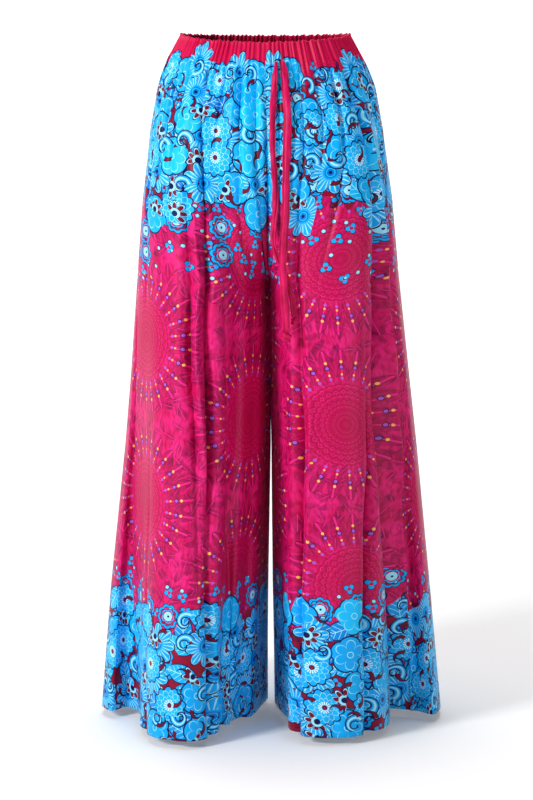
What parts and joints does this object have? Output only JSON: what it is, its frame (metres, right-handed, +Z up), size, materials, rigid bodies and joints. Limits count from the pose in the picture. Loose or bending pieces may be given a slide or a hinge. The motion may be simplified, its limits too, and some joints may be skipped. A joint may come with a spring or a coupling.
{
  "type": "palazzo pants",
  "caption": "Very wide-legged gathered trousers, filled out as worn and hollow, with an elastic waistband and a knotted drawstring.",
  "frame": {"origin": "middle of the waist, halfway up the waistband at its sides", "axes": "+Z up the garment, -Y the way the wearer faces, +X to the wearer's left"},
  "size_m": [0.509, 0.3568, 1],
  "materials": {
    "printed_cloth": "light satin-faced cloth printed with blue flowers over magenta",
    "plain_cloth": "the same light cloth, plain magenta"
  },
  "bodies": {
    "root": {"front_panel_right": "printed_cloth", "front_panel_left": "printed_cloth", "back_panel_right": "printed_cloth", "back_panel_left": "printed_cloth", "waistband": "plain_cloth", "drawstring_long": "plain_cloth", "drawstring_short": "plain_cloth", "knot_long": "plain_cloth", "knot_short": "plain_cloth"}
  },
  "joints": []
}
